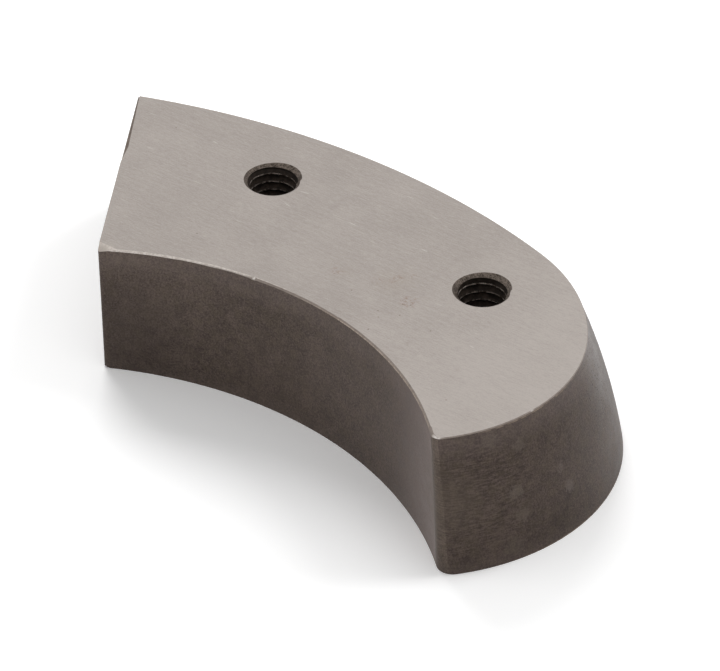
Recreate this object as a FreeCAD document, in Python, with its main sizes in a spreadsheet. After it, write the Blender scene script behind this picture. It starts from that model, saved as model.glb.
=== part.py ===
import FreeCAD, Part
import math
import os
from collections import namedtuple
from enum import IntEnum

import Sketcher

# A curved cutting blade: one block of tool steel, held from above by two screws in tapped holes.
#
# Frame, in millimetres: X runs through both holes and +Z points out of their mouths. The origin
# is on the flat foot, straight below the point halfway between the holes. The convex outer side
# faces +Y, the concave side -Y, the square end is at -X and the round nose at +X.
#
# The outline grows from the top face to the foot, so that the cutting edge round the foot is
# clear of the metal above it. Each wall has the same arcs at the top, the waist and the foot.

SIZES = {
    "thickness": 15.0,
    "hole_spacing": 30.0,
    "drill_diameter": 5.0,
    "mouth_chamfer": 0.575,
    # The outer arc shares its centre with the circle that the holes lie on.
    "outer_radius": 85.0,
    "outer_rim": 8.6,
    # The nose is centred in front of the right hole. Its circle would clear the outer arc by the
    # shoulder gap, and a shoulder arc, a little larger than the nose, runs from one to the other.
    "nose_radius": 17.8,
    "shoulder_extra": 5.0,
    "shoulder_gap": 1.06,
    "corner_radius": 1.0,
    # The concave arc, and how far its crown lies in front of the line through the holes.
    "concave_radius": 39.2,
    "concave_setback": 13.35,
    # The square end is turned by its angle from the Y axis, and lies at its margin from the left
    # hole's axis. It points at the centre of the concave arc, which sets where that centre is.
    "end_angle": 37.15,
    "end_margin": 16.5,
    "end_allowance": 4.0,
    # What each arc gains on the way from the top face down to the foot.
    "outer_flare": 4.0,
    "nose_flare": 3.6,
    "nose_foot_shift": 0.5,
    "corner_flare": 0.7,
    "concave_flare": 5.2,
    "concave_lean": 1.36,
    # The share of the outer gain at half height: more than half of it makes a crowned wall.
    "waist_share": 0.61,
    # A shallow ground step along the rear of the square end's top edge. Its places along the end
    # count from the line square to the end that passes over the origin.
    "step_depth": 0.2,
    "step_width": 0.39,
    "step_rear_width": 0.12,
    "step_front": 11.0,
    "step_deepest": 13.8,
    "step_rear": 26.0,
    # The worn break along the concave top edge, and the one on the square end's front corner.
    "edge_break": 0.15,
    "corner_break": 0.35,
}

# A share of a gain, as the sheet reads it and as a plain number.
NONE = ("0", 0.0)
HALF = ("0.5", 0.5)
WHOLE = ("1", 1.0)
WAIST = ("Sizes.waist_share", SIZES["waist_share"])

Level = namedtuple("Level", "name height outer_share concave_share break_share")
FOOT = Level("foot_outline", "0", WHOLE, WHOLE, NONE)
MIDDLE = Level("waist_outline", "Sizes.thickness / 2", WAIST, HALF, NONE)
RIM = Level("rim_outline", "Sizes.thickness - Sizes.edge_break", NONE, NONE, NONE)
FACE = Level("face_outline", "Sizes.thickness", NONE, NONE, WHOLE)

# Sizes that follow from others, as the sheet's expressions.
HALF_SPACING = "Sizes.hole_spacing / 2"
OUTER_CENTRE = f"sqrt((Sizes.outer_radius - Sizes.outer_rim)^2 - ({HALF_SPACING})^2)"
END_DISTANCE = f"(Sizes.end_margin + {HALF_SPACING} * cos(Sizes.end_angle))"
BLANK_END = f"({END_DISTANCE} + Sizes.end_allowance)"
CONCAVE_RIGHT = (
    "(Sizes.concave_setback + Sizes.concave_radius) * tan(Sizes.end_angle)"
    f" - {END_DISTANCE} / cos(Sizes.end_angle)"
)


class Of(IntEnum):
    """How a sketch numbers its own axes and the points of a line or an arc."""

    X_AXIS = -1
    Y_AXIS = -2
    START = 1
    END = 2
    CENTRE = 3


ORIGIN = (Of.X_AXIS, Of.START)

UP = FreeCAD.Vector(0, 0, 1)
TURN = math.radians(SIZES["end_angle"])
INWARD = FreeCAD.Vector(math.cos(TURN), math.sin(TURN), 0)
REARWARD = FreeCAD.Vector(-math.sin(TURN), math.cos(TURN), 0)
MOUTH_ANGLE = 90
RIGHT_ANGLE = 90
FULL_TURN = 2 * math.pi
SAME = 0.01


def make_sheet(doc):
    """The spreadsheet that drives every sketch and feature."""
    sheet = doc.addObject("Spreadsheet::Sheet", "Sizes")
    for row, (name, size) in enumerate(SIZES.items(), start=1):
        sheet.set(f"A{row}", name)
        sheet.set(f"B{row}", str(size))
        sheet.setAlias(f"B{row}", name)
    return sheet


def origin_plane(body, role):
    """One of the body's own origin planes, by its role."""
    return next(plane for plane in body.Origin.OriginFeatures if plane.Role == role)


def new_sketch(body, name, height="0", turned=False):
    """A sketch level with the foot, raised to a height and turned to face the square end if asked."""
    sketch = body.newObject("Sketcher::SketchObject", name)
    sketch.AttachmentSupport = [(origin_plane(body, "XY_Plane"), "")]
    sketch.MapMode = "FlatFace"
    sketch.setExpression("AttachmentOffset.Base.z", height)
    if turned:
        turn = FreeCAD.Rotation(UP, SIZES["end_angle"])
        sketch.AttachmentOffset = FreeCAD.Placement(FreeCAD.Vector(), turn)
        sketch.setExpression("AttachmentOffset.Rotation.Angle", "Sizes.end_angle")
    return sketch


def bind(sketch, name, constraint, expression):
    """Adds a constraint with a name and ties its size to the sheet."""
    index = sketch.addConstraint(constraint)
    sketch.renameConstraint(index, name)
    sketch.setExpression(f"Constraints.{name}", expression)


def grown(name, gain, share):
    """A size at one level: the size at the top face and its share of the gain to the foot."""
    return f"Sizes.{name} + Sizes.{gain} * {share[0]}"


def end_distance():
    """How far the square end lies from the origin, as a plain number."""
    return SIZES["end_margin"] + SIZES["hole_spacing"] / 2 * math.cos(TURN)


def level_sizes(level):
    """The arcs of the outline at one level, as plain numbers."""
    s = SIZES
    outer_share = level.outer_share[1]
    concave_share = level.concave_share[1]
    half = s["hole_spacing"] / 2
    outer_centre_y = -math.sqrt((s["outer_radius"] - s["outer_rim"]) ** 2 - half**2)
    outer_radius = s["outer_radius"] + s["outer_flare"] * outer_share
    nose_radius = s["nose_radius"] + s["nose_flare"] * outer_share
    nose_x = half - s["nose_foot_shift"] * outer_share
    nose_reach = outer_radius - nose_radius - s["shoulder_gap"]
    concave_radius = s["concave_radius"] + s["concave_flare"] * concave_share
    concave_y = -s["concave_setback"] - s["concave_lean"] * concave_share - concave_radius
    concave_x = (
        (s["concave_setback"] + s["concave_radius"]) * math.tan(TURN)
        - end_distance() / math.cos(TURN)
    )
    return {
        "outer_centre": FreeCAD.Vector(0, outer_centre_y, 0),
        "outer_radius": outer_radius,
        "shoulder_radius": nose_radius + s["shoulder_extra"],
        "nose_centre": FreeCAD.Vector(
            nose_x, outer_centre_y + math.sqrt(nose_reach**2 - nose_x**2), 0
        ),
        "nose_radius": nose_radius,
        "corner_radius": s["corner_radius"] + s["corner_flare"] * concave_share,
        "concave_centre": FreeCAD.Vector(concave_x, concave_y, 0),
        "concave_radius": concave_radius + s["edge_break"] * level.break_share[1],
    }


def circles_meet(centre_a, radius_a, centre_b, radius_b, left):
    """Where two circles cross, on the left or the right of the way from a to b."""
    way = centre_b - centre_a
    length = way.Length
    along = (radius_a**2 - radius_b**2 + length**2) / (2 * length)
    aside = math.sqrt(radius_a**2 - along**2)
    ahead = FreeCAD.Vector(way).normalize()
    across = FreeCAD.Vector(-ahead.y, ahead.x, 0)
    return centre_a + ahead * along + across * (aside if left else -aside)


def line_meets_circle(point, ahead, centre, radius):
    """Where a line leaves a circle, going the way that ahead points."""
    start = point - centre
    along = -start.dot(ahead)
    off = (start + ahead * along).Length
    return point + ahead * (along + math.sqrt(radius**2 - off**2))


def arc_between(centre, radius, start, end):
    """The arc about a centre that runs anticlockwise from one point to another."""
    angles = [math.atan2(p.y - centre.y, p.x - centre.x) for p in (start, end)]
    if angles[1] <= angles[0]:
        angles[1] += FULL_TURN
    circle = Part.Circle(centre, UP, radius)
    return Part.ArcOfCircle(circle, *angles)


def outline_sketch(body, level):
    """The closed outline at one level: end line, outer arc, shoulder, nose, corner, concave arc."""
    sketch = new_sketch(body, level.name, level.height)
    now = level_sizes(level)
    shoulder_centre = circles_meet(
        now["outer_centre"],
        now["outer_radius"] - now["shoulder_radius"],
        now["nose_centre"],
        now["shoulder_radius"] - now["nose_radius"],
        left=True,
    )
    corner_centre = circles_meet(
        now["concave_centre"],
        now["concave_radius"] + now["corner_radius"],
        now["nose_centre"],
        now["nose_radius"] - now["corner_radius"],
        left=False,
    )

    def touch(centre, other, radius):
        return centre + (other - centre).normalize() * radius

    to_shoulder = touch(now["outer_centre"], shoulder_centre, now["outer_radius"])
    to_nose = touch(shoulder_centre, now["nose_centre"], now["shoulder_radius"])
    to_corner = touch(now["nose_centre"], corner_centre, now["nose_radius"])
    to_concave = touch(now["concave_centre"], corner_centre, now["concave_radius"])

    end_at = end_distance() + SIZES["end_allowance"]
    on_end = INWARD * -end_at
    end_front = line_meets_circle(on_end, REARWARD, now["concave_centre"], now["concave_radius"])
    end_rear = line_meets_circle(on_end, REARWARD, now["outer_centre"], now["outer_radius"])

    end, outer, shoulder, nose, corner, concave = range(6)
    sketch.addGeometry(Part.LineSegment(end_front, end_rear))
    sketch.addGeometry(
        arc_between(now["outer_centre"], now["outer_radius"], to_shoulder, end_rear)
    )
    sketch.addGeometry(
        arc_between(shoulder_centre, now["shoulder_radius"], to_nose, to_shoulder)
    )
    sketch.addGeometry(arc_between(now["nose_centre"], now["nose_radius"], to_corner, to_nose))
    sketch.addGeometry(arc_between(corner_centre, now["corner_radius"], to_concave, to_corner))
    sketch.addGeometry(
        arc_between(now["concave_centre"], now["concave_radius"], to_concave, end_front)
    )

    for first, second in ((outer, shoulder), (shoulder, nose), (nose, corner)):
        sketch.addConstraint(Sketcher.Constraint("Tangent", first, Of.START, second, Of.END))
    sketch.addConstraint(Sketcher.Constraint("Tangent", corner, Of.START, concave, Of.START))
    sketch.addConstraint(Sketcher.Constraint("Coincident", end, Of.START, concave, Of.END))
    sketch.addConstraint(Sketcher.Constraint("Coincident", end, Of.END, outer, Of.END))
    sketch.addConstraint(Sketcher.Constraint("PointOnObject", outer, Of.CENTRE, Of.Y_AXIS))

    outer_radius = grown("outer_radius", "outer_flare", level.outer_share)
    nose_radius = grown("nose_radius", "nose_flare", level.outer_share)
    concave_radius = grown("concave_radius", "concave_flare", level.concave_share)
    radii = {
        "outer_radius": (outer, outer_radius),
        "shoulder_radius": (shoulder, f"{nose_radius} + Sizes.shoulder_extra"),
        "nose_radius": (nose, nose_radius),
        "corner_radius": (corner, grown("corner_radius", "corner_flare", level.concave_share)),
        "concave_radius": (
            concave,
            f"{concave_radius} + Sizes.edge_break * {level.break_share[0]}",
        ),
    }
    for name, (arc, expression) in radii.items():
        bind(sketch, name, Sketcher.Constraint("Radius", arc, now[name]), expression)

    nose_right = f"{HALF_SPACING} - Sizes.nose_foot_shift * {level.outer_share[0]}"
    nose_reach = f"{outer_radius} - ({nose_radius}) - Sizes.shoulder_gap"
    crown = grown("concave_setback", "concave_lean", level.concave_share)
    to_the_right = {
        "nose": (nose, nose_right),
        "concave": (concave, CONCAVE_RIGHT),
    }
    to_the_front = {
        "outer": (outer, OUTER_CENTRE),
        "nose": (nose, f"{OUTER_CENTRE} - sqrt(({nose_reach})^2 - ({nose_right})^2)"),
        "concave": (concave, f"{crown} + {concave_radius}"),
    }
    for name, (arc, expression) in to_the_right.items():
        size = now[f"{name}_centre"].x
        constraint = Sketcher.Constraint("DistanceX", *ORIGIN, arc, Of.CENTRE, size)
        bind(sketch, f"{name}_right", constraint, expression)
    for name, (arc, expression) in to_the_front.items():
        size = -now[f"{name}_centre"].y
        constraint = Sketcher.Constraint("DistanceY", arc, Of.CENTRE, *ORIGIN, size)
        bind(sketch, f"{name}_front", constraint, expression)
    direction = Sketcher.Constraint("Angle", end, TURN + math.radians(RIGHT_ANGLE))
    bind(sketch, "end_direction", direction, f"{RIGHT_ANGLE} + Sizes.end_angle")
    distance = Sketcher.Constraint("Distance", *ORIGIN, end, end_at)
    bind(sketch, "end_distance", distance, BLANK_END)
    return sketch


def polygon(sketch, corners):
    """A closed outline of straight lines, each corner tied to its two distances from the origin."""
    points = [FreeCAD.Vector(x, y, 0) for (x, _), (y, _) in corners]
    for number, point in enumerate(points):
        sketch.addGeometry(Part.LineSegment(point, points[(number + 1) % len(points)]))
    for number, ((x, x_expression), (y, y_expression)) in enumerate(corners):
        following = (number + 1) % len(points)
        sketch.addConstraint(Sketcher.Constraint("Coincident", number, Of.END, following, Of.START))
        bind_across(sketch, f"corner_{number}_x", "DistanceX", number, x, x_expression)
        bind_across(sketch, f"corner_{number}_y", "DistanceY", number, y, y_expression)


def bind_across(sketch, name, kind, line, size, expression):
    """Ties the start of a line to the origin, on either side of it, with a positive size."""
    ends = (*ORIGIN, line, Of.START) if size > 0 else (line, Of.START, *ORIGIN)
    bind(sketch, name, Sketcher.Constraint(kind, *ends, abs(size)), expression)


def loft_blank(body):
    """The block with its flared and crowned walls, left long at the square end."""
    foot, waist, rim, face = (outline_sketch(body, each) for each in (FOOT, MIDDLE, RIM, FACE))
    body.Document.recompute()
    blank = body.newObject("PartDesign::AdditiveLoft", "blank")
    blank.Profile = foot
    blank.Sections = [waist, rim]
    body.Document.recompute()
    top_break = body.newObject("PartDesign::AdditiveLoft", "top_break")
    top_break.Profile = rim
    top_break.Sections = [face]
    body.Document.recompute()


def cut_square_end(body):
    """Cuts off the allowance, which leaves the flat end face."""
    sketch = new_sketch(body, "square_end", turned=True)
    face = (-end_distance(), END_DISTANCE)
    outside = (face[0] - 2 * SIZES["end_allowance"], f"{BLANK_END} + Sizes.end_allowance")
    front = (-SIZES["outer_radius"], "Sizes.outer_radius")
    rear = (SIZES["outer_radius"], "Sizes.outer_radius")
    polygon(sketch, [(outside, front), (face, front), (face, rear), (outside, rear)])
    body.Document.recompute()
    cut = body.newObject("PartDesign::Pocket", "end_cut")
    cut.Profile = sketch
    cut.Type = "ThroughAll"
    cut.Reversed = True
    body.Document.recompute()


def cut_end_step(body):
    """The shallow ground step that narrows the rear half of the end's top edge."""
    sketch = new_sketch(body, "end_step_outline", "Sizes.thickness", turned=True)
    outside = (-end_distance() - SIZES["end_allowance"], BLANK_END)
    front = (SIZES["step_front"], "Sizes.step_front")
    deepest = (SIZES["step_deepest"], "Sizes.step_deepest")
    rear = (SIZES["step_rear"], "Sizes.step_rear")
    corners = [
        ((-end_distance(), END_DISTANCE), front),
        ((SIZES["step_width"] - end_distance(), f"{END_DISTANCE} - Sizes.step_width"), deepest),
        (
            (SIZES["step_rear_width"] - end_distance(), f"{END_DISTANCE} - Sizes.step_rear_width"),
            rear,
        ),
        (outside, rear),
        (outside, front),
    ]
    polygon(sketch, corners)
    body.Document.recompute()
    cut = body.newObject("PartDesign::Pocket", "end_step")
    cut.Profile = sketch
    cut.Type = "Length"
    cut.setExpression("Length", "Sizes.step_depth")
    body.Document.recompute()


def drill_holes(body):
    """Two holes drilled for the thread, right through, with countersunk mouths in the top face."""
    sketch = new_sketch(body, "hole_centres", "Sizes.thickness")
    radius = SIZES["drill_diameter"] / 2
    half = SIZES["hole_spacing"] / 2
    left, right = 0, 1
    spans = {left: (left, Of.CENTRE, *ORIGIN), right: (*ORIGIN, right, Of.CENTRE)}
    for hole, x in ((left, -half), (right, half)):
        sketch.addGeometry(Part.Circle(FreeCAD.Vector(x, 0, 0), UP, radius))
        sketch.addConstraint(Sketcher.Constraint("PointOnObject", hole, Of.CENTRE, Of.X_AXIS))
        place = Sketcher.Constraint("DistanceX", *spans[hole], half)
        bind(sketch, f"hole_{hole}_place", place, HALF_SPACING)
        diameter = Sketcher.Constraint("Diameter", hole, SIZES["drill_diameter"])
        bind(sketch, f"hole_{hole}_diameter", diameter, "Sizes.drill_diameter")
    body.Document.recompute()
    holes = body.newObject("PartDesign::Hole", "tapped_holes")
    holes.Profile = sketch
    body.Document.recompute()
    holes.ThreadType = "None"
    holes.DepthType = "ThroughAll"
    holes.HoleCutType = "Countersink"
    holes.HoleCutCustomValues = True
    holes.HoleCutCountersinkAngle = MOUTH_ANGLE
    holes.setExpression("Diameter", "Sizes.drill_diameter")
    holes.setExpression("HoleCutDiameter", "Sizes.drill_diameter + 2 * Sizes.mouth_chamfer")
    body.Document.recompute()


def edges_where(shape, test):
    """The names of a shape's edges that pass a test."""
    return [f"Edge{n}" for n, edge in enumerate(shape.Edges, start=1) if test(edge)]


def chamfer(body, name, test, size):
    """A chamfer on the edges of the body so far that pass a test."""
    base = body.Tip
    names = edges_where(base.Shape, test)
    if not names:
        raise RuntimeError(f"{name} found no edge")
    feature = body.newObject("PartDesign::Chamfer", name)
    feature.Base = (base, names)
    feature.setExpression("Size", size)
    body.Document.recompute()


def break_edges(body):
    """Breaks the holes' lower mouths and the front corner of the square end."""
    drill_radius = SIZES["drill_diameter"] / 2

    def lower_mouth(edge):
        round_edge = isinstance(edge.Curve, Part.Circle)
        on_foot = edge.BoundBox.ZMax < SAME
        return on_foot and round_edge and abs(edge.Curve.Radius - drill_radius) < SAME

    def front_corner(edge):
        middle = edge.valueAt((edge.FirstParameter + edge.LastParameter) / 2)
        on_end = abs(middle.dot(INWARD) + end_distance()) < SAME
        upright = edge.BoundBox.ZLength > SAME
        return on_end and upright and middle.y < -SIZES["concave_setback"]

    chamfer(body, "lower_mouths", lower_mouth, "Sizes.mouth_chamfer")
    chamfer(body, "front_corner_break", front_corner, "Sizes.corner_break")


def check(doc, node):
    """Stops if any object failed, or if the finished part isn't one valid solid."""
    for thing in doc.Objects:
        if "Invalid" in thing.State or "Error" in thing.State:
            raise RuntimeError(f"{thing.Name} failed: {thing.State}")
    if node.Shape.isNull() or not node.Shape.isValid() or len(node.Shape.Solids) != 1:
        raise RuntimeError(f"{node.Label} isn't one valid solid")


def main():
    doc = FreeCAD.newDocument("curved_cutting_blade")
    make_sheet(doc)
    blade = doc.addObject("PartDesign::Body", "blade")
    blade.Label = "curved_blade"
    doc.recompute()
    loft_blank(blade)
    cut_square_end(blade)
    cut_end_step(blade)
    drill_holes(blade)
    break_edges(blade)
    blade.Placement = FreeCAD.Placement()
    doc.recompute()
    check(doc, blade)
    os.makedirs("parts", exist_ok=True)
    blade.Shape.exportStep(os.path.join("parts", f"{blade.Label}.step"))
    print(f"{blade.Label}: {blade.Shape.Volume:.0f} cubic mm, {blade.Shape.optimalBoundingBox()}")


main()
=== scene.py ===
"""A curved cutting blade: one block of tool steel with flared walls and two M6 tapped holes."""

import math
from collections import namedtuple

import bmesh
import bpy
from mathutils import Matrix, Vector, noise


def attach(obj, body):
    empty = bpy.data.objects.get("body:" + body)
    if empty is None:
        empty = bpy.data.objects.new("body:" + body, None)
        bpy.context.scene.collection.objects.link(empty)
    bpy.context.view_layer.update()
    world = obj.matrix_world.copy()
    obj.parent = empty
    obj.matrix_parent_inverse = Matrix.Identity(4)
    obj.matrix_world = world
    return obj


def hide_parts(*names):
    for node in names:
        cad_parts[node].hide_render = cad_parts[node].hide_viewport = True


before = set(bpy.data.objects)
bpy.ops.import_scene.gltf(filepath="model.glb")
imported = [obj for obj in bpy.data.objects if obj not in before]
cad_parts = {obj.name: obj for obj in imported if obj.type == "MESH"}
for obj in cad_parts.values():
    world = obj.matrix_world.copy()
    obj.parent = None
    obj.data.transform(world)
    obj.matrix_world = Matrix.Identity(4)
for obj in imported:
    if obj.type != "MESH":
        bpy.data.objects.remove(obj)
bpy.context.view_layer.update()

# Sizes are in millimetres until a mesh or a light takes them.
MM = 0.001
PER_MM = 1000.0
NODE = "curved_blade"
UP = Vector((0, 0, 1))

THICKNESS = 15.0
HOLE_SPACING = 30.0
OUTER_RADIUS = 85.0
OUTER_RIM = 8.6
NOSE_RADIUS = 17.8
SHOULDER_EXTRA = 5.0
SHOULDER_GAP = 1.06
CORNER_RADIUS = 1.0
CONCAVE_RADIUS = 39.2
CONCAVE_SETBACK = 13.35
END_ANGLE = math.radians(37.15)
END_MARGIN = 16.5

# What each arc gains from the top face down to the foot, and how far the outer wall is crowned.
OUTER_FLARE = 4.0
NOSE_FLARE = 3.6
NOSE_FOOT_SHIFT = 0.5
CORNER_FLARE = 0.7
CONCAVE_FLARE = 5.2
CONCAVE_LEAN = 1.36
CROWN = 0.44

# The rounding of the top edges: its height, and its width on the convex and the concave side.
BREAK_HEIGHT = 0.15
OUTER_BREAK = 0.05
CONCAVE_BREAK = 0.15
BREAK_STEPS = 4
WALL_STEPS = 12

# How finely each stretch of the outline is divided, in the order in which it is swept.
OUTER_STEPS = 84
SHOULDER_STEPS = 18
NOSE_STEPS = 84
CORNER_STEPS = 10
CONCAVE_STEPS = 168
ROUND_STEPS = 4
END_STEPS = 16

# The tapped holes: an M6 thread on a 5 mm drill, with a 90 degree countersink at each mouth.
DRILL_RADIUS = 2.5
ROOT_RADIUS = 3.0
MOUTH_RADIUS = 3.075
PITCH = 1.0
CREST_FLAT = 0.16
ROOT_FLAT = 0.125
THREAD_STEPS = 60
SPARE_TURNS = 2
CREST_ANGLE = math.radians(134.9)
CREST_MARGIN = 0.01
LOBE_DEPTH = 0.05
LOBE_ANGLE = math.radians(30)
LOBE_CATCH = math.radians(11)
CATCH_PLACE = 0.3
CATCH_DEPTH = 0.13

# How far the cutters run on past the block, and what counts as the same place.
OVERCUT = 1.0
TOLERANCE = 0.001

# The tap left the threads shallow at the mouths: the depths below a face between which they grow,
# and the share of its full depth that the left and the right one start with.
SHALLOW_DEPTH = 0.5
FULL_DEPTH = 0.9
LEFT_SHARE = 0.55
RIGHT_SHARE = 0.36

# Wear of the concave top edge: where the nick and the nose's corner lie along x, and how many
# times the plain rounding each stretch has.
NICK_START = -4.1
NICK_END = -3.75
TIP_START = 27.0
END_WEAR = 1.2
NICK_WEAR = 2.0
BAY_WEAR = 1.42
TIP_WEAR = 1.9

# How uneven that wear is: noise with so many features per millimetre, and its weight. The bay
# has a share of it.
FINE_GRIT = (1.2, 0.2)
COARSE_GRIT = (0.4, 0.3)
BAY_GRIT = 0.5

# Which walls count as bored or as the dressed corner: how squarely they face the concave centre.
CORNER_FACING = 0.45
BORED_FACING = 0.8
CORNER_REACH = 1.03

# The small rounds of the end's two upright corners.
FRONT_ROUND = 0.3
REAR_ROUND = 0.08

# The step at the rear of the end's top edge: its depth, how far outside the blade its cutter
# starts, and its corners as the way inward from the end and the way rearward along it.
STEP_DEPTH = 0.2
STEP_OUTSIDE = 4.0
STEP_CORNERS = (
    (0.0, 11.0),
    (0.39, 13.8),
    (0.12, 26.0),
    (-STEP_OUTSIDE, 26.0),
    (-STEP_OUTSIDE, 11.0),
)

# The worn facets on the end's front corner, at the top and at the foot: the share of the flare
# and the height there, then how far each runs along the end, along the bay and up the corner.
FACETS = (
    (0.0, THICKNESS, 1.4, 2.2, -0.34),
    (1.0, 0.0, 0.5, 0.55, 0.28),
)
FACET_CUTTER = 6.0

# The finishes, in the order of the material slots.
WALL, FACE, EDGE, THREAD, MOUTH, CORNER, BORED, CREST, STEP = range(9)

# Faces wholly above this share of the rim's height are edge. Edges that turn by more than this
# angle, or that bound a level face on one side only, are drawn sharp. In metres: how close two
# points lie that are made one, and how close to a cutting plane a point counts as on it.
EDGE_SHARE = 0.98
SHARP_ANGLE = math.radians(28)
LEVEL_FACING = 0.9999
SAME_POINT = 1e-7
ON_PLANE = 1e-9

HALF = HOLE_SPACING / 2
INWARD = Vector((math.cos(END_ANGLE), math.sin(END_ANGLE), 0))
REARWARD = Vector((-math.sin(END_ANGLE), math.cos(END_ANGLE), 0))
END_DISTANCE = END_MARGIN + HALF * math.cos(END_ANGLE)
OUTER_CENTRE = Vector((0, -math.sqrt((OUTER_RADIUS - OUTER_RIM) ** 2 - HALF**2), 0))
CONCAVE_X = (
    (CONCAVE_SETBACK + CONCAVE_RADIUS) * math.tan(END_ANGLE) - END_DISTANCE / math.cos(END_ANGLE)
)

Arc = namedtuple("Arc", "centre radius start end steps clockwise")


def circles_meet(centre_a, radius_a, centre_b, radius_b, left):
    """Where two circles cross, on the left or the right of the way from a to b."""
    way = centre_b - centre_a
    along = (radius_a**2 - radius_b**2 + way.length_squared) / (2 * way.length)
    aside = math.sqrt(radius_a**2 - along**2)
    ahead = way.normalized()
    across = UP.cross(ahead)
    return centre_a + ahead * along + across * (aside if left else -aside)


def end_meets(centre, radius, inside):
    """Where a circle is left, going rearward, on the plane so far inside the square end."""
    start = INWARD * (inside - END_DISTANCE) - centre
    along = -start.dot(REARWARD)
    off = (start + REARWARD * along).length
    return centre + start + REARWARD * (along + math.sqrt(radius**2 - off**2))


def touch(centre, other, radius):
    """The point of a circle that lies on the way to another circle's centre."""
    return centre + (other - centre).normalized() * radius


def arcs_at(outer_share, concave_share, outer_inset, concave_inset):
    """The arcs of the outline, from the rear corner of the end round to its front corner."""
    outer_radius = OUTER_RADIUS + OUTER_FLARE * outer_share
    nose_radius = NOSE_RADIUS + NOSE_FLARE * outer_share
    shoulder_radius = nose_radius + SHOULDER_EXTRA
    corner_radius = CORNER_RADIUS + CORNER_FLARE * concave_share
    concave_radius = CONCAVE_RADIUS + CONCAVE_FLARE * concave_share
    nose_x = HALF - NOSE_FOOT_SHIFT * outer_share
    nose_reach = outer_radius - nose_radius - SHOULDER_GAP
    nose = Vector((nose_x, OUTER_CENTRE.y + math.sqrt(nose_reach**2 - nose_x**2), 0))
    crown_y = -CONCAVE_SETBACK - CONCAVE_LEAN * concave_share
    concave = Vector((CONCAVE_X, crown_y - concave_radius, 0))

    outer_radius -= outer_inset
    shoulder_radius -= outer_inset
    nose_radius -= outer_inset
    corner_radius -= outer_inset
    concave_radius += concave_inset
    shoulder = circles_meet(
        OUTER_CENTRE, outer_radius - shoulder_radius, nose, shoulder_radius - nose_radius, left=True
    )
    corner = circles_meet(
        concave, concave_radius + corner_radius, nose, nose_radius - corner_radius, left=False
    )
    rear = end_meets(OUTER_CENTRE, outer_radius - REAR_ROUND, REAR_ROUND)
    to_outer = touch(OUTER_CENTRE, rear, outer_radius)
    to_shoulder = touch(OUTER_CENTRE, shoulder, outer_radius)
    to_nose = touch(shoulder, nose, shoulder_radius)
    to_corner = touch(nose, corner, nose_radius)
    to_concave = touch(concave, corner, concave_radius)
    front = end_meets(concave, concave_radius + FRONT_ROUND, FRONT_ROUND)
    to_front = touch(concave, front, concave_radius)
    return [
        Arc(rear, REAR_ROUND, rear - INWARD * REAR_ROUND, to_outer, ROUND_STEPS, True),
        Arc(OUTER_CENTRE, outer_radius, to_outer, to_shoulder, OUTER_STEPS, True),
        Arc(shoulder, shoulder_radius, to_shoulder, to_nose, SHOULDER_STEPS, True),
        Arc(nose, nose_radius, to_nose, to_corner, NOSE_STEPS, True),
        Arc(corner, corner_radius, to_corner, to_concave, CORNER_STEPS, True),
        Arc(concave, concave_radius, to_concave, to_front, CONCAVE_STEPS, False),
        Arc(front, FRONT_ROUND, to_front, front - INWARD * FRONT_ROUND, ROUND_STEPS, True),
    ]


def swept_angle(arc):
    """The signed angle of an arc about the vertical."""
    start, end = (math.atan2(p.y - arc.centre.y, p.x - arc.centre.x) for p in (arc.start, arc.end))
    turn = (end - start) % (2 * math.pi)
    return turn - 2 * math.pi if arc.clockwise else turn


def outline(bm, height, arcs):
    """Sweeps the arcs into one closed loop of edges at a height."""
    lift = UP * height
    before = set(bm.edges)
    rear = bm.verts.new((arcs[0].start + lift) * MM)
    last = rear
    for arc in arcs:
        swept = bmesh.ops.spin(
            bm,
            geom=[last],
            cent=(arc.centre + lift) * MM,
            axis=UP,
            angle=swept_angle(arc),
            steps=arc.steps,
        )
        last = next(v for v in swept["geom_last"] if isinstance(v, bmesh.types.BMVert))
    closing = bm.edges.new((last, rear))
    bmesh.ops.subdivide_edges(bm, edges=[closing], cuts=END_STEPS - 1)
    return [e for e in bm.edges if e not in before]


def levels():
    """Each level's height and the arcs of its outline, from the foot up to the top face."""
    rim = THICKNESS - BREAK_HEIGHT
    for step in range(WALL_STEPS + 1):
        height = rim * step / WALL_STEPS
        share = 1 - step / WALL_STEPS
        crowned = share + CROWN * share * (1 - share)
        yield height, arcs_at(crowned, share, 0, 0)
    for step in range(1, BREAK_STEPS + 1):
        turn = math.pi / 2 * step / BREAK_STEPS
        inset = 1 - math.cos(turn)
        height = rim + BREAK_HEIGHT * math.sin(turn)
        yield height, arcs_at(0, 0, OUTER_BREAK * inset, CONCAVE_BREAK * inset)


def wear_at(point):
    """How many times its plain size the top edge's rounding has, at a place on the concave side."""
    grit = sum(noise.noise(point * scale) * weight for scale, weight in (FINE_GRIT, COARSE_GRIT))
    if point.x < NICK_START:
        return END_WEAR + grit
    if point.x < NICK_END:
        return NICK_WEAR
    if point.x < TIP_START:
        return BAY_WEAR + BAY_GRIT * grit
    return TIP_WEAR + grit


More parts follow.
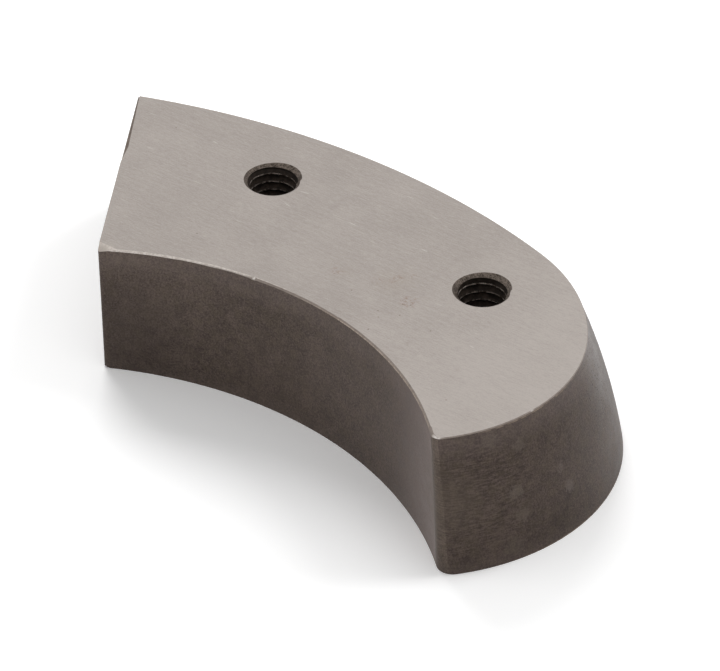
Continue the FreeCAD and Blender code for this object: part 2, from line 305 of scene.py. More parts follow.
def wear_concave_edge(bm):
    """Makes the rounding of the concave top edge uneven, widest at the nose's corner."""
    rim = THICKNESS - BREAK_HEIGHT
    front = arcs_at(0, 0, 0, 0)[-1].start
    for vert in bm.verts:
        place = vert.co * PER_MM
        if place.z < rim - TOLERANCE or place.y > -CONCAVE_SETBACK:
            continue
        from_concave = (place - Vector((CONCAVE_X, -CONCAVE_SETBACK - CONCAVE_RADIUS, 0))).to_2d()
        if from_concave.length > CONCAVE_RADIUS + 2 * CONCAVE_BREAK:
            continue
        from_front = (place - front).to_2d().length
        more = (wear_at(place) - 1) * min(1.0, max(0.0, from_front - FRONT_ROUND))
        drop = THICKNESS - place.z
        inset = from_concave.length - CONCAVE_RADIUS
        outward = from_concave.normalized().to_3d()
        vert.co += (outward * inset - UP * drop) * more * MM


def wall_slot(face, arcs):
    """Which of the walls' finishes a face has: bored, dressed at the corner, or milled."""
    place = (face.calc_center_median() * PER_MM).to_2d()
    corner, concave = arcs[-3], arcs[-2]
    facing = face.normal.to_2d().dot((concave.centre.to_2d() - place).normalized())
    if (place - corner.centre.to_2d()).length < corner.radius * CORNER_REACH:
        return CORNER if facing > CORNER_FACING else WALL
    return BORED if facing > BORED_FACING else WALL


def block(slots):
    """The solid block with its flared walls, rounded top edges and small end corners."""
    bm = bmesh.new()
    loops, outlines = [], []
    for height, arcs in levels():
        loops.append(outline(bm, height, arcs))
        outlines.append(arcs)
    bands = [
        bmesh.ops.bridge_loops(bm, edges=lower + upper)["faces"]
        for lower, upper in zip(loops, loops[1:])
    ]
    foot = bmesh.ops.edgeloop_fill(bm, edges=loops[0])["faces"]
    top = bmesh.ops.edgeloop_fill(bm, edges=loops[-1])["faces"]
    bmesh.ops.recalc_face_normals(bm, faces=bm.faces)
    for face in foot:
        face.material_index = WALL
    for face in top:
        face.material_index = FACE
    for band, arcs in zip(bands, outlines):
        for face in band:
            face.material_index = wall_slot(face, arcs)
    wear_concave_edge(bm)
    rim = (THICKNESS - BREAK_HEIGHT) * MM
    for face in bm.faces:
        if face.material_index != FACE and min(v.co.z for v in face.verts) > rim * EDGE_SHARE:
            face.material_index = EDGE
    bmesh.ops.recalc_face_normals(bm, faces=bm.faces)
    return as_object(bm, "blade", slots)


def as_object(bm, name, slots):
    """A mesh object in the scene with every material slot."""
    mesh = bpy.data.meshes.new(name)
    bm.to_mesh(mesh)
    bm.free()
    for material in slots:
        mesh.materials.append(material)
    piece = bpy.data.objects.new(name, mesh)
    bpy.context.scene.collection.objects.link(piece)
    return piece


def run_out(bm, least):
    """Makes a threaded core shallower where it comes out at the two faces."""
    for vert in bm.verts:
        height = vert.co.z / MM
        below = min(height, THICKNESS - height)
        grown = (below - SHALLOW_DEPTH) / (FULL_DEPTH - SHALLOW_DEPTH)
        share = min(max(grown, least), 1)
        radius = vert.co.to_2d().length / MM
        vert.co.xy *= (DRILL_RADIUS + (radius - DRILL_RADIUS) * share) / radius


def threaded_core(x, least, slots):
    """What the drill and the tap take out: a helix whose profile is the metric thread's."""
    bm = bmesh.new()
    flank = (PITCH - CREST_FLAT - ROOT_FLAT) / 2
    heights = (0, CREST_FLAT, CREST_FLAT + flank, CREST_FLAT + flank + ROOT_FLAT, PITCH)
    radii = (DRILL_RADIUS, DRILL_RADIUS, ROOT_RADIUS, ROOT_RADIUS, DRILL_RADIUS)
    start = -SPARE_TURNS * PITCH - CREST_FLAT / 2
    around = Matrix.Rotation(CREST_ANGLE, 3, "Z")
    profile = [
        bm.verts.new(around @ Vector((radius, 0, start + height)) * MM)
        for radius, height in zip(radii, heights)
    ]
    chain = [bm.edges.new(pair) for pair in zip(profile, profile[1:])]
    turns = math.ceil(THICKNESS / PITCH) + 2 * SPARE_TURNS
    bmesh.ops.spin(
        bm,
        geom=profile + chain,
        axis=UP,
        dvec=UP * PITCH * MM / THREAD_STEPS,
        angle=2 * math.pi * turns,
        steps=THREAD_STEPS * turns,
    )
    bmesh.ops.remove_doubles(bm, verts=bm.verts, dist=PITCH * MM / THREAD_STEPS / 4)
    run_out(bm, least)
    for height, way in ((-OVERCUT, -1), (THICKNESS + OVERCUT, 1)):
        bmesh.ops.bisect_plane(
            bm,
            geom=bm.verts[:] + bm.edges[:] + bm.faces[:],
            dist=ON_PLANE,
            plane_co=UP * height * MM,
            plane_no=UP * way,
            clear_outer=True,
        )
    bmesh.ops.holes_fill(bm, edges=bm.edges, sides=0)
    bmesh.ops.recalc_face_normals(bm, faces=bm.faces)
    for face in bm.faces:
        on_crest = all(v.co.to_2d().length < (DRILL_RADIUS + CREST_MARGIN) * MM for v in face.verts)
        face.material_index = CREST if on_crest else THREAD
    bmesh.ops.translate(bm, verts=bm.verts, vec=Vector((x, 0, 0)) * MM)
    return as_object(bm, "threaded_core", slots)


def chatter(vert):
    """How far the countersink's chatter moves a point of its cone: three lobes and a catch."""
    angle = math.atan2(vert.co.y, vert.co.x) - LOBE_ANGLE
    catch = 0
    if angle < LOBE_CATCH:
        catch = CATCH_DEPTH * math.exp(-((angle / LOBE_CATCH - CATCH_PLACE) ** 2))
    return -LOBE_DEPTH * math.cos(3 * angle) - catch


def countersink(x, height, way, slots):
    """The cone that breaks a hole's mouth. It runs on past the face it opens."""
    bm = bmesh.new()
    deep = MOUTH_RADIUS - DRILL_RADIUS / 2
    small, large = MOUTH_RADIUS - deep, MOUTH_RADIUS + OVERCUT
    bmesh.ops.create_cone(
        bm,
        cap_ends=True,
        segments=THREAD_STEPS * 2,
        radius1=small * MM,
        radius2=large * MM,
        depth=(large - small) * MM,
    )
    for face in bm.faces:
        face.material_index = MOUTH
    for vert in bm.verts:
        outward = vert.co.to_2d().to_3d().normalized()
        if way > 0:
            vert.co += outward * chatter(vert) * MM
    lift = (OVERCUT - deep) / 2
    turn = Matrix.Rotation(0 if way > 0 else math.pi, 4, "X")
    place = Matrix.Translation(Vector((x, 0, height + way * lift)) * MM)
    bmesh.ops.transform(bm, matrix=place @ turn, verts=bm.verts)
    return as_object(bm, "countersink", slots)


def end_step(slots):
    """The sliver that a light pass of the wheel took off the rear of the end's top edge."""
    bm = bmesh.new()
    floor = THICKNESS - STEP_DEPTH
    ring = [
        bm.verts.new((INWARD * (inward - END_DISTANCE) + REARWARD * along + UP * floor) * MM)
        for inward, along in STEP_CORNERS
    ]
    base = bm.faces.new(ring)
    raised = bmesh.ops.extrude_face_region(bm, geom=[base])["geom"]
    lifted = [v for v in raised if isinstance(v, bmesh.types.BMVert)]
    bmesh.ops.translate(bm, verts=lifted, vec=UP * (STEP_DEPTH + OVERCUT) * MM)
    bmesh.ops.recalc_face_normals(bm, faces=bm.faces)
    for face in bm.faces:
        face.material_index = STEP
    return as_object(bm, "end_step", slots)


def worn_facet(share, height, along_end, along_bay, along_upright, slots):
    """What wear took off the end's front corner: a flat across its three edges."""
    concave = arcs_at(share, share, 0, 0)[-2]
    corner = end_meets(concave.centre, concave.radius, 0.0) + UP * height
    on_end = corner + REARWARD * along_end
    on_bay = corner + INWARD * along_bay
    on_upright = corner + UP * along_upright
    outward = (on_bay - on_end).cross(on_upright - on_end).normalized()
    if outward.dot(UP * along_upright) > 0:
        outward.negate()
    middle = (on_end + on_bay + on_upright) / 3 + outward * FACET_CUTTER / 2
    turn = outward.to_track_quat("Z", "Y").to_matrix().to_4x4()
    bm = bmesh.new()
    bmesh.ops.create_cube(bm, size=FACET_CUTTER * MM)
    bmesh.ops.transform(bm, matrix=Matrix.Translation(middle * MM) @ turn, verts=bm.verts)
    for face in bm.faces:
        face.material_index = EDGE if share == 0 else WALL
    return as_object(bm, "worn_facet", slots)


def cut_away(piece, cutters):
    """Takes the cutters out of the piece and removes them from the scene."""
    for cutter in cutters:
        cut = piece.modifiers.new(cutter.name, "BOOLEAN")
        cut.operation = "DIFFERENCE"
        cut.solver = "EXACT"
        cut.object = cutter
    graph = bpy.context.evaluated_depsgraph_get()
    mesh = bpy.data.meshes.new_from_object(piece.evaluated_get(graph))
    piece.modifiers.clear()
    piece.data = mesh
    for cutter in cutters:
        bpy.data.objects.remove(cutter)


def shade(piece):
    """Smooths the walls and keeps the flat faces flat and the real corners sharp."""
    bm = bmesh.new()
    bm.from_mesh(piece.data)
    bmesh.ops.remove_doubles(bm, verts=bm.verts, dist=SAME_POINT)
    for face in bm.faces:
        face.smooth = True
    for edge in bm.edges:
        flat = [abs(f.normal.z) > LEVEL_FACING for f in edge.link_faces]
        edge.smooth = edge.calc_face_angle(0) < SHARP_ANGLE and flat[0] == flat[-1]
    bm.to_mesh(piece.data)
    bm.free()


class Graph:
    """The nodes of one material, added by short calls and joined as they are added."""

    def __init__(self, name):
        self.material = bpy.data.materials.new(name)
        self.material.use_nodes = True
        self.tree = self.material.node_tree
        self.surface = self.tree.nodes["Principled BSDF"]
        coordinates = self.tree.nodes.new("ShaderNodeTexCoord").outputs["Object"]
        self.place = self.stretched(coordinates, (PER_MM, PER_MM, PER_MM))

    def put(self, socket, value):
        """Joins a socket to an output, or sets it to a plain value."""
        if isinstance(value, bpy.types.NodeSocket):
            self.tree.links.new(value, socket)
        else:
            socket.default_value = value

    def stretched(self, vector, scale, turn=0.0):
        """A vector turned about the vertical, then scaled along each axis."""
        node = self.tree.nodes.new("ShaderNodeMapping")
        node.vector_type = "TEXTURE"
        self.put(node.inputs["Vector"], vector)
        node.inputs["Rotation"].default_value = (0, 0, turn)
        node.inputs["Scale"].default_value = [1 / factor for factor in scale]
        return node.outputs["Vector"]

    def noise(self, scale, detail=3.0, roughness=0.5, stretch=None, turn=0.0):
        """Noise with so many features per millimetre, stretched where a finish has a direction."""
        node = self.tree.nodes.new("ShaderNodeTexNoise")
        vector = self.stretched(self.place, stretch, turn) if stretch else self.place
        self.put(node.inputs["Vector"], vector)
        node.inputs["Scale"].default_value = scale
        node.inputs["Detail"].default_value = detail
        node.inputs["Roughness"].default_value = roughness
        return node.outputs["Fac"]

    def between(self, value, low, high, to_low=0.0, to_high=1.0):
        """A value rising smoothly from to_low to to_high as another goes from low to high."""
        node = self.tree.nodes.new("ShaderNodeMapRange")
        node.interpolation_type = "SMOOTHSTEP"
        self.put(node.inputs["Value"], value)
        node.inputs["From Min"].default_value = low
        node.inputs["From Max"].default_value = high
        node.inputs["To Min"].default_value = to_low
        node.inputs["To Max"].default_value = to_high
        return node.outputs["Result"]

    def math(self, operation, first, second=0.0):
        """Two values added, multiplied or otherwise joined."""
        node = self.tree.nodes.new("ShaderNodeMath")
        node.operation = operation
        self.put(node.inputs[0], first)
        self.put(node.inputs[1], second)
        return node.outputs["Value"]

    def mix(self, factor, first, second):
        """A colour between two others."""
        node = self.tree.nodes.new("ShaderNodeMix")
        node.data_type = "RGBA"
        self.put(node.inputs["Factor"], factor)
        self.put(node.inputs["A"], first)
        self.put(node.inputs["B"], second)
        return node.outputs["Result"]

    def along(self, axis):
        """One coordinate of the place, in millimetres."""
        node = self.tree.nodes.new("ShaderNodeSeparateXYZ")
        self.put(node.inputs["Vector"], self.place)
        return node.outputs[axis]

    def band(self, low, high, soft):
        """1 between two heights, fading to 0 beyond them."""
        height = self.along("Z")
        above = self.between(height, low - soft, low)
        below = self.between(height, high, high + soft, 1.0, 0.0)
        return self.math("MULTIPLY", above, below)

    def spot(self, centre, radius, soft, ragged=0.0):
        """1 inside a blot round a point, fading to 0 over its soft rim."""
        node = self.tree.nodes.new("ShaderNodeVectorMath")
        node.operation = "DISTANCE"
        self.put(node.inputs[0], self.place)
        node.inputs[1].default_value = centre
        reach = node.outputs["Value"]
        if ragged:
            reach = self.math("MULTIPLY_ADD", self.noise(1.9, 4.0, 0.7), ragged)
            self.tree.links.new(node.outputs["Value"], reach.node.inputs[2])
        return self.between(reach, radius, radius + soft, 1.0, 0.0)

    def streak(self, centre, length, width, turn):
        """1 on a thin straight scratch about a point, fading to 0 at its sides and ends."""
        node = self.tree.nodes.new("ShaderNodeMapping")
        node.vector_type = "TEXTURE"
        self.put(node.inputs["Vector"], self.place)
        node.inputs["Location"].default_value = centre
        node.inputs["Rotation"].default_value = (0, 0, turn)
        node.inputs["Scale"].default_value = (length / 2, width / 2, length / 2)
        reach = self.tree.nodes.new("ShaderNodeVectorMath")
        reach.operation = "LENGTH"
        self.put(reach.inputs[0], node.outputs["Vector"])
        return self.between(reach.outputs["Value"], STREAK_CORE, 1.0, 1.0, 0.0)

    def bump(self, height, strength, depth):
        """Raises the surface by a height from 0 to 1, times a depth in millimetres."""
        node = self.tree.nodes.new("ShaderNodeBump")
        node.inputs["Strength"].default_value = strength
        node.inputs["Distance"].default_value = depth * MM
        self.put(node.inputs["Height"], height)
        self.put(self.surface.inputs["Normal"], node.outputs["Normal"])

    def finish(self, colour, roughness, metallic):
        """The material, once its surface has these."""
        self.put(self.surface.inputs["Base Color"], colour)
        self.put(self.surface.inputs["Roughness"], roughness)
        self.surface.inputs["Metallic"].default_value = metallic
        return self.material


def tone(red, green, blue):
    """A colour as the eye reads it, from 0 to 255, made linear for the shader."""
    return (*((level / 255) ** 2.2 for level in (red, green, blue)), 1.0)


def ground_steel():
    """The top face: short fine wheel marks along the blade, a few scratches, pits, faint rust, and
    painted light that makes it lighter toward the nose.
    """
    g = Graph("ground_steel")
    fine = g.noise(1.0, 3.0, 0.65, stretch=(1.3, 7.5, 1.0), turn=GRIND_TURN)
    long_marks = g.noise(1.0, 2.0, 0.5, stretch=(0.25, 2.8, 1.0), turn=GRIND_TURN)
    grain = g.noise(6.0, 2.0, 0.7)
    cloud = g.noise(0.14, 3.0, 0.55)
    level = g.math("MULTIPLY", fine, 0.42)
    for part, weight in ((long_marks, 0.14), (grain, 0.28), (cloud, 0.16)):
        level = g.math("ADD", level, g.math("MULTIPLY", part, weight))
    # Painted light: the top face grows lighter along x toward the nose.
    level = g.math("ADD", level, g.between(g.along("X"), 6.0, 28.0, 0.0, 0.085))
    colour = g.mix(g.between(level, 0.3, 0.7), tone(148, 140, 134), tone(179, 171, 165))

    scratch = g.noise(1.0, 1.0, 0.4, stretch=(0.5, 6.5, 1.0), turn=GRIND_TURN)
    colour = g.mix(g.between(scratch, 0.7, 0.8, 0.0, 0.5), colour, tone(200, 194, 189))
    for centre, length, turn in TOP_SCRATCHES:
        mask = g.streak((*centre, THICKNESS), length, 0.13, math.radians(turn))
        colour = g.mix(g.math("MULTIPLY", mask, 0.6), colour, tone(212, 207, 203))
    for centre, radius, soft, strength, blot_colour in TOP_STAINS:
        mask = g.spot((*centre, THICKNESS), radius, soft, ragged=soft)
        colour = g.mix(g.math("MULTIPLY", mask, strength), colour, blot_colour)
    specks = g.between(g.noise(2.4, 3.0, 0.6), 0.48, 0.62)
    for centre, radius, strength in RUST_PATCHES:
        mask = g.math("MULTIPLY", g.spot((*centre, THICKNESS), radius, 1.0, ragged=1.5), specks)
        colour = g.mix(g.math("MULTIPLY", mask, strength), colour, tone(134, 106, 89))
    for centre in TOP_PITS:
        mask = g.spot((*centre, THICKNESS), 0.05, 0.14, ragged=0.1)
        colour = g.mix(g.math("MULTIPLY", mask, 0.7), colour, tone(98, 82, 70))
    g.bump(fine, 0.25, 0.01)
    return g.finish(colour, g.between(fine, 0.2, 0.8, 0.38, 0.5), 0.75)


def dark_steel(name, dark, light, lighter_share=0.0):
    """A wall: dull dark brown steel, fine-grained and mottled, with painted light making it a
    little lighter near its top and its foot.

    The nose has level marks, and the bored wall has a painted sheen that makes it lighter toward
    the nose.
    """
    g = Graph(name)
    mottle = g.noise(0.6, 5.0, 0.7)
    grain = g.noise(5.2, 3.0, 0.75)
    cloud = g.noise(0.1, 2.0, 0.5)
    marks = g.noise(1.0, 3.0, 0.6, stretch=(0.9, 0.9, 6.5))
    marked = g.spot(*MARKED_FLANK)
    marks = g.math("MULTIPLY", g.math("SUBTRACT", marks, 0.5), marked)
    level = g.math("MULTIPLY", grain, 0.55)
    for part, weight in ((mottle, 0.28), (cloud, 0.12), (marks, 0.6)):
        level = g.math("ADD", level, g.math("MULTIPLY", part, weight))
    colour = g.mix(g.between(level, 0.35, 0.63), dark, light)

    tint = g.between(g.noise(1.1, 4.0, 0.65), 0.42, 0.62, 0.0, 0.24)
    colour = g.mix(tint, colour, tone(82, 73, 58))
    # Painted sheen: the bored wall is lighter toward the nose.
    sheen_toward_nose = g.between(g.along("X"), *SHEEN_STRETCH, 0.0, lighter_share)
    colour = g.mix(sheen_toward_nose, colour, PAINTED_LIGHT_GREY)
    # Painted light: every wall is a little lighter near its top and its foot.
    lit_margins = g.math("SUBTRACT", 1.0, g.band(*WALL_MIDDLE))
    colour = g.mix(g.math("MULTIPLY", lit_margins, 0.12), colour, PAINTED_LIGHT_GREY)
    # Blots: the steel's own stains, with painted light and painted shade among them.
    for centre, radius, soft, ragged, strength, blot_colour in WALL_STAINS_AND_PAINTED_LIGHT:
        mask = g.math("MULTIPLY", g.spot(centre, radius, soft, ragged), strength)
        colour = g.mix(mask, colour, blot_colour)
    pits = g.between(g.noise(5.5, 2.0, 0.5), 0.58, 0.68, 0.0, 0.25)
    pitted = g.math("MULTIPLY", pits, g.spot(PITTED_FLANK, 2.0, 4.0))
    colour = g.mix(pitted, colour, tone(58, 50, 46))
    broken = g.between(g.noise(1.4, 3.0, 0.6), 0.35, 0.6)
    for low, high, centre, radius, soft, strength in RUBBED_LINES:
        line = g.math("MULTIPLY", g.band(low, high, 0.08), g.spot(centre, radius, soft))
        mask = g.math("MULTIPLY", line, g.math("MULTIPLY", broken, strength))
        colour = g.mix(mask, colour, tone(130, 116, 103))
    g.bump(g.math("ADD", grain, marks), 0.5, 0.035)
    g.surface.inputs["Specular IOR Level"].default_value = 0.3
    roughness = g.between(mottle, 0.3, 0.7, 0.44, 0.54)
    worn_off = g.between(grain, 0.4, 0.6, 0.16, 0.07)
    smoothed = g.math("MULTIPLY", g.spot(SMOOTHED_FLANK, 1.0, 5.0), worn_off)
    roughness = g.math("SUBTRACT", roughness, smoothed)
    return g.finish(colour, g.math("ADD", roughness, pitted), 0.45)


def worn_edge():
    """The rounded top edges: worn bright at the left of the concave side, browner elsewhere.

    In the bay the brown part has a lighter line low down, and the bright part a darker one by
    the nick.
    """
    g = Graph("worn_edge")
    fine = g.math("MULTIPLY", g.noise(4.5, 2.0, 0.5), 0.6)
    glint = g.math("ADD", g.math("MULTIPLY", g.noise(1.6, 3.0, 0.5), 0.4), fine)
    glint = g.between(glint, 0.39, 0.61)
    bright = g.mix(glint, tone(182, 172, 164), tone(208, 200, 193))
    dull = g.mix(g.noise(1.8, 3.0, 0.6), tone(100, 90, 83), tone(150, 139, 131))
    low = g.between(g.along("Z"), *LOW_HEIGHTS, 1.0, 0.0)
    in_bay = g.between(g.along("Y"), *BAY_DEPTHS, 1.0, 0.0)
    in_bay = g.math("MULTIPLY", in_bay, g.between(g.along("X"), *BAY_LINE_STARTS))
    in_bay = g.math("MULTIPLY", in_bay, g.between(g.along("X"), *BAY_LINE_ENDS, 1.0, 0.0))
    tan = g.mix(glint, tone(132, 118, 106), tone(170, 155, 142))
    dull = g.mix(g.math("MULTIPLY", low, in_bay), dull, tan)
    by_nick = g.math("MULTIPLY", low, g.between(g.along("X"), *NICK_SHADE_STARTS))
    bright = g.mix(g.math("MULTIPLY", by_nick, 0.7), bright, tone(104, 94, 86))
    corner = g.math("MULTIPLY", g.spot(WORN_CORNER, 0.5, 1.0), 0.9)
    bright = g.mix(corner, bright, tone(165, 156, 148))
    lighter_share = g.between(g.along("X"), *BRIGHT_ENDS, 1.0, 0.0)
    crown = g.between(g.along("Z"), *CROWN_HEIGHTS)
    crown = g.math("MULTIPLY", crown, g.between(g.along("X"), *CROWN_ENDS, 0.9, 0.0))
    lighter_share = g.math("MAXIMUM", lighter_share, crown)
    colour = g.mix(lighter_share, dull, bright)
    for centre, radius, soft in BRIGHT_BURRS:
        mask = g.math("MULTIPLY", g.spot(centre, radius, soft), glint)
        colour = g.mix(g.math("MULTIPLY", mask, 0.85), colour, tone(224, 218, 212))
    return g.finish(colour, 0.42, 0.6)


def oiled_thread():
    """The thread's flanks and roots, black with oil and swarf dust, with painted shade darker just
    below the top mouths.
    """
    g = Graph("oiled_thread")
    dirt = g.noise(1.6, 4.0, 0.65)
    colour = g.mix(g.between(dirt, 0.35, 0.7), tone(36, 31, 27), tone(72, 62, 55))
    # Painted shade: darker just below the top mouths.
    shade_below_mouth = g.between(g.along("Z"), 12.0, 14.6, 0.0, 0.7)
    colour = g.mix(shade_below_mouth, colour, tone(30, 25, 21))
    g.surface.inputs["Specular IOR Level"].default_value = 0.15
    return g.finish(colour, 0.6, 0.3)


def thread_crest():
    """The thread's crests, rubbed and painted bright as a highlight, most of all in short
    stretches.
    """
    g = Graph("thread_crest")
    # Painted highlight: the crests are painted near white in short stretches.
    lighter_share = g.between(g.noise(2.3, 4.0, 0.6), 0.38, 0.6)
    return g.finish(g.mix(lighter_share, tone(118, 106, 96), tone(240, 227, 216)), 0.35, 0.7)


def turned_mouth():
    """The countersinks, cut with a chattering tool that left them rough."""
    g = Graph("turned_mouth")
    rough = g.math("ADD", g.math("MULTIPLY", g.noise(1.8, 4.0, 0.6), 0.5), g.noise(6.0, 2.0, 0.6))
    colour = g.mix(g.between(rough, 0.55, 0.95), tone(60, 52, 46), tone(117, 106, 97))
    g.bump(rough, 0.4, 0.02)
    return g.finish(colour, 0.45, 0.65)


# The wheel ran almost along the line of the holes.
GRIND_TURN = math.radians(7.0)

# The share of a scratch's half width over which it keeps its full brightness.
STREAK_CORE = 0.3

# Bright scratches on the top face: the middle, the length and the turn in degrees of each.
TOP_SCRATCHES = (
    ((-3.1, -0.4), 1.5, 2.0),
    ((5.8, 1.1), 1.1, 2.0),
    ((-10.8, 0.4), 1.6, 14.0),
    ((-24.4, 0.8), 1.0, 0.0),
    ((-10.6, -2.4), 1.1, -4.0),
    ((21.0, -8.0), 0.9, 4.0),
)

# Marks on the top face: place, radius, soft rim, strength and colour.
TOP_STAINS = (
    ((-6.6, 0.6), 0.3, 1.4, 0.28, tone(120, 110, 104)),
    ((15.7, -11.9), 0.2, 0.8, 0.3, tone(125, 114, 102)),
    ((22.6, -11.8), 0.2, 0.7, 0.25, tone(125, 114, 102)),
    ((7.2, -5.0), 1.5, 3.5, 0.14, tone(146, 132, 112)),
    ((2.4, -7.0), 0.4, 2.2, 0.14, tone(148, 134, 116)),
    ((-18.9, -20.4), 0.5, 1.0, 0.45, tone(184, 173, 163)),
)

# Patches of fine rust specks on it: place, radius and strength.
RUST_PATCHES = (
    ((1.6, -7.7), 0.7, 0.5),
    ((3.3, -6.4), 0.3, 0.35),
    ((5.9, -5.9), 0.6, 0.5),
    ((7.3, -4.5), 0.8, 0.55),
    ((8.0, -3.0), 0.5, 0.45),
    ((10.9, -6.6), 1.0, 0.7),
    ((11.6, -5.3), 0.4, 0.5),
)

# Single dark pits on it.
TOP_PITS = (
    (25.2, -16.3),
    (-29.5, 0.0),
    (-13.9, -12.4),
    (9.6, -9.8),
    (10.4, -10.6),
    (11.8, -8.9),
    (10.7, -7.3),
    (11.1, -12.8),
    (5.1, -9.0),
    (11.4, -6.9),
    (16.0, -8.8),
)

# The walls: the grey of their painted light, the stretch of x over which the bored wall gets its
# painted sheen, the heights between which they keep their own tone and how softly the painted
# lighter margins begin, and the level marks.
PAINTED_LIGHT_GREY = tone(136, 123, 119)
SHEEN_STRETCH = (12.0, 28.0)
WALL_MIDDLE = (2.0, 11.5, 2.5)
MARKED_FLANK = ((31.5, -20.0, 8.0), 2.5, 7.5)

# Blots on the walls: place, radius, soft rim, how ragged, strength and colour. Most are the steel's
# own stains; three are painted light: a broad lighter glow in the bay, a lighter patch at the bay's
# foot, and a painted shade low on the bored wall by the end.
WALL_STAINS_AND_PAINTED_LIGHT = (
    ((35.1, -8.9, 5.2), 1.6, 0.3, 2.2, 0.36, tone(106, 96, 90)),
    ((34.9, -9.7, 7.7), 1.4, 0.3, 2.2, 0.3, tone(104, 94, 88)),
    ((33.9, -15.6, 7.5), 1.8, 0.4, 2.4, 0.34, tone(102, 93, 84)),
    ((34.4, -15.2, 4.9), 1.9, 0.5, 2.6, 0.24, tone(100, 91, 82)),
    ((31.9, -17.1, 13.8), 1.9, 0.5, 2.6, 0.26, tone(100, 91, 82)),
    ((33.2, -14.2, 12.2), 1.7, 0.4, 2.4, 0.26, tone(100, 91, 82)),
    ((34.7, -16.6, 1.6), 2.1, 0.7, 2.8, 0.2, tone(98, 89, 80)),
    ((30.0, -22.0, 8.0), 1.5, 6.0, 2.0, 0.4, tone(90, 80, 71)),
    # Painted light: a broad lighter glow in the middle of the bay.
    ((10.0, -14.5, 7.0), 4.0, 7.0, 2.0, 0.09, PAINTED_LIGHT_GREY),
    # Painted shade: darker low on the bored wall by the end.
    ((-17.0, -19.8, 5.0), 3.0, 8.0, 3.0, 0.4, tone(56, 47, 43)),
    # Painted light: lighter at the bay's foot.
    ((-1.0, -14.9, 1.5), 4.0, 8.0, 3.0, 0.25, tone(96, 84, 77)),
    ((-17.8, -20.1, 14.0), 1.3, 0.4, 1.8, 0.3, tone(104, 93, 84)),
    ((-16.5, -19.3, 13.9), 1.3, 0.4, 1.8, 0.3, tone(104, 93, 84)),
)

# Where the nose's right flank is rubbed smooth, and where it is pitted.
SMOOTHED_FLANK = (30.0, 0.5, 12.2)
PITTED_FLANK = (30.8, -0.5, 11.5)

# Thin lighter lines along the nose's edges: heights, place, radius, soft rim and strength.
RUBBED_LINES = (
    (THICKNESS - 0.27, THICKNESS - 0.22, (32.6, -11.0, THICKNESS), 4.0, 5.0, 0.85),
    (-0.2, 0.1, (35.4, -8.0, 0.0), 5.0, 6.0, 0.6),
)

# The lines along the worn edge: each pair is where along x or y, or at which heights, one sets in
# or fades out.
BRIGHT_ENDS = (-5.5, -3.0)
NICK_SHADE_STARTS = (-11.0, -7.0)
CROWN_ENDS = (-1.0, 3.0)
CROWN_HEIGHTS = (THICKNESS - 0.03, THICKNESS - 0.01)
LOW_HEIGHTS = (THICKNESS - 0.15, THICKNESS - 0.04)
BAY_DEPTHS = (-CONCAVE_SETBACK, 0.5 - CONCAVE_SETBACK)
BAY_LINE_STARTS = (-1.0, 9.0)
BAY_LINE_ENDS = (26.5, 27.5)

# The front corner of the end, where the worn edge is greyer.
WORN_CORNER = (-19.5, -21.2, THICKNESS)

# Where burrs on the top edges catch the light: place, radius and soft rim.
BRIGHT_BURRS = (
    ((28.7, -21.6, THICKNESS), 0.3, 0.45),
    ((-3.9, -14.2, THICKNESS), 0.17, 0.1),
    ((32.5, -11.8, THICKNESS), 0.12, 0.3),
    ((31.9, -13.2, THICKNESS), 0.1, 0.25),
)


def blade():
    """The whole blade, cut from the block and given its finishes."""
    slots = [
        dark_steel("milled_wall", tone(49, 40, 36), tone(87, 75, 69)),
        ground_steel(),
        worn_edge(),
        oiled_thread(),
        turned_mouth(),
        dark_steel("dressed_corner", tone(64, 55, 49), tone(101, 89, 81)),
        dark_steel("bored_wall", tone(53, 44, 40), tone(97, 85, 78), lighter_share=0.5),
        thread_crest(),
        dark_steel("ground_step", tone(88, 78, 71), tone(128, 116, 107)),
    ]
    piece = block(slots)
    cutters = [end_step(slots)] + [worn_facet(*facet, slots) for facet in FACETS]
    for x, least in ((-HALF, LEFT_SHARE), (HALF, RIGHT_SHARE)):
        cutters.append(threaded_core(x, least, slots))
        cutters.append(countersink(x, THICKNESS, 1, slots))
        cutters.append(countersink(x, 0.0, -1, slots))
    cut_away(piece, cutters)
    shade(piece)
    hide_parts(NODE)
    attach(piece, "root")


def floor():
    """A white floor that keeps the blade's shadow. It looks whiter than it lights the blade."""
    bm = bmesh.new()
    bmesh.ops.create_grid(bm, x_segments=1, y_segments=1, size=FLOOR_HALF_WIDTH)
    material = bpy.data.materials.new("white_floor")
    material.use_nodes = True
    tree = material.node_tree
    surface = tree.nodes.new("ShaderNodeBsdfDiffuse")
    output = tree.nodes["Material Output"]
    tree.links.new(surface.outputs["BSDF"], output.inputs["Surface"])
    white = tree.nodes.new("ShaderNodeMapRange")
    white.inputs["To Min"].default_value = FLOOR_WHITE
    white.inputs["To Max"].default_value = FLOOR_WHITE_SEEN
    tree.links.new(seen_directly(tree), white.inputs["Value"])
    tree.links.new(white.outputs["Result"], surface.inputs["Color"])
    as_object(bm, "floor", [material])


def seen_directly(tree):
    """1 for camera, glossy and transmission rays, and 0 for the rays that light the blade."""
    path = tree.nodes.new("ShaderNodeLightPath")
    seen = path.outputs["Is Camera Ray"]
    for name in ("Is Glossy Ray", "Is Transmission Ray"):
        both = tree.nodes.new("ShaderNodeMath")
        both.operation = "MAXIMUM"
        tree.links.new(seen, both.inputs[0])
        tree.links.new(path.outputs[name], both.inputs[1])
        seen = both.outputs["Value"]
    return seen


# The floor's half width in metres, its white as it lights the blade and as it is seen, and the
# level at which the room lights the blade.
FLOOR_HALF_WIDTH = 3.0
FLOOR_WHITE = 0.9
FLOOR_WHITE_SEEN = 1.21
WORLD_LEVEL = 0.52

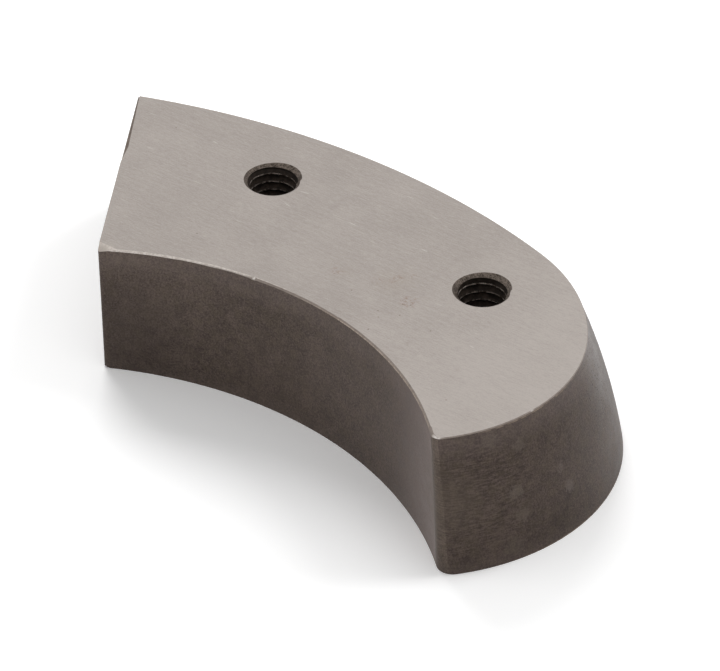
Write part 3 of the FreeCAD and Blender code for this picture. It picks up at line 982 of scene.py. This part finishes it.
# The lamps: distance in metres, angle about the vertical and above the floor, width and power.
LAMPS = (
    ("rear_left_softbox", 0.8, 145, 38, 0.5, 3.2),
    ("rear_right_softbox", 0.8, 65, 38, 0.5, 2.9),
    ("left_softbox", 0.8, 222, 32, 0.5, 0.8),
)


def studio():
    """Two soft lights behind the blade, a weak one at its left and a pale room all round it."""
    world = bpy.data.worlds.new("pale_room")
    world.use_nodes = True
    bpy.context.scene.world = world
    tree = world.node_tree
    background = tree.nodes["Background"]
    background.inputs["Color"].default_value = (1, 1, 1, 1)
    strength = tree.nodes.new("ShaderNodeMapRange")
    strength.inputs["To Min"].default_value = WORLD_LEVEL
    strength.inputs["To Max"].default_value = 1.0
    tree.links.new(seen_directly(tree), strength.inputs["Value"])
    tree.links.new(strength.outputs["Result"], background.inputs["Strength"])

    for name, distance, azimuth, elevation, size, power in LAMPS:
        lamp = bpy.data.lights.new(name, "AREA")
        lamp.shape = "DISK"
        lamp.size = size
        lamp.energy = power
        light = bpy.data.objects.new(name, lamp)
        lifted = Matrix.Rotation(-math.radians(elevation), 3, "Y") @ Vector((distance, 0, 0))
        light.location = Matrix.Rotation(math.radians(azimuth), 3, "Z") @ lifted
        light.rotation_euler = (-light.location).to_track_quat("-Z", "Y").to_euler()
        light.visible_camera = False
        light.visible_glossy = False
        bpy.context.scene.collection.objects.link(light)


# The camera: where it stands, which ways the picture's right and top lie, and its lens.
VIEWPOINT = Vector((358.397, -362.643, 370.657))
PICTURE_RIGHT = Vector((0.7208183, 0.6926779, -0.0248657))
PICTURE_UP = Vector((-0.3915671, 0.4365519, 0.8099986))
LENS = 300.0
SENSOR_WIDTH = 36.0


def camera():
    """The photograph's viewpoint: a long lens, from the front of the nose's side."""
    data = bpy.data.cameras.new("camera")
    data.lens = LENS
    data.sensor_width = SENSOR_WIDTH
    data.sensor_fit = "HORIZONTAL"
    data.clip_start = 0.01
    view = bpy.data.objects.new("camera", data)
    sides = (PICTURE_RIGHT, PICTURE_UP, PICTURE_RIGHT.cross(PICTURE_UP))
    turn = Matrix(sides).transposed().to_4x4()
    view.matrix_world = Matrix.Translation(VIEWPOINT * MM) @ turn
    bpy.context.scene.collection.objects.link(view)
    bpy.context.scene.camera = view


blade()
floor()
studio()
camera()
bpy.context.scene.view_settings.view_transform = "Standard"
